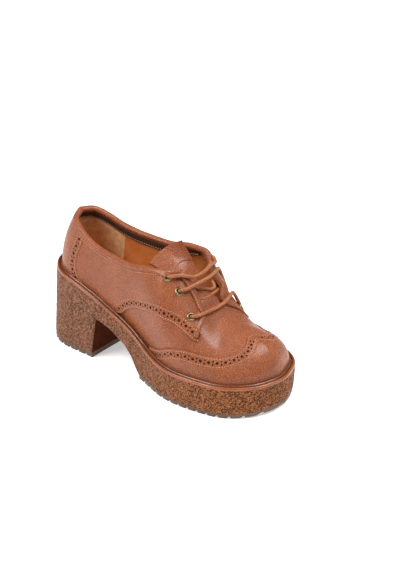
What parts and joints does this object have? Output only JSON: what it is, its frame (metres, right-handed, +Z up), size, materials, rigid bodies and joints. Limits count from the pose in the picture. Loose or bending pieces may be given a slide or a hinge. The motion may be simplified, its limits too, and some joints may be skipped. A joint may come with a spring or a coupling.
{
  "type": "block heel derby shoe",
  "caption": "Womens lace-up derby shoe with a wing toe cap, brogue trim, a lugged platform sole and a chunky block heel, made as a hollow leather upper on a moulded sole.",
  "frame": {"origin": "middle of the shoe's outer box, on the ground plane that the heel and the forefoot stand on", "axes": "+X from heel to toe, +Y to the inner side of the foot, +Z up"},
  "size_m": [0.2482, 0.0992, 0.1234],
  "materials": {
    "sole_crepe": "speckled brown crepe-textured rubber, satin",
    "tread": "smooth grey-brown rubber",
    "welt": "glossy orange-brown moulded welt",
    "lining": "matt tan lining leather",
    "leather": "pebbled reddish-brown leather with a polished coat",
    "brass": "antique brass",
    "lace": "round waxed cotton cord and thread"
  },
  "bodies": {
    "root": {"sole_unit": "sole_crepe", "outsole": "tread", "heel_top_piece": "tread", "welt": "welt", "insole": "lining", "upper": "leather", "wing_cap": "leather", "counter": "leather", "quarter_lateral": "leather", "quarter_medial": "leather", "collar_binding": "leather", "tongue": "leather", "eyelet_lateral_1": "brass", "eyelet_lateral_2": "brass", "eyelet_lateral_3": "brass", "eyelet_medial_1": "brass", "eyelet_medial_2": "brass", "eyelet_medial_3": "brass", "lace_bar_1": "lace", "lace_bar_2": "lace", "lace_bar_3": "lace"}
  },
  "joints": []
}
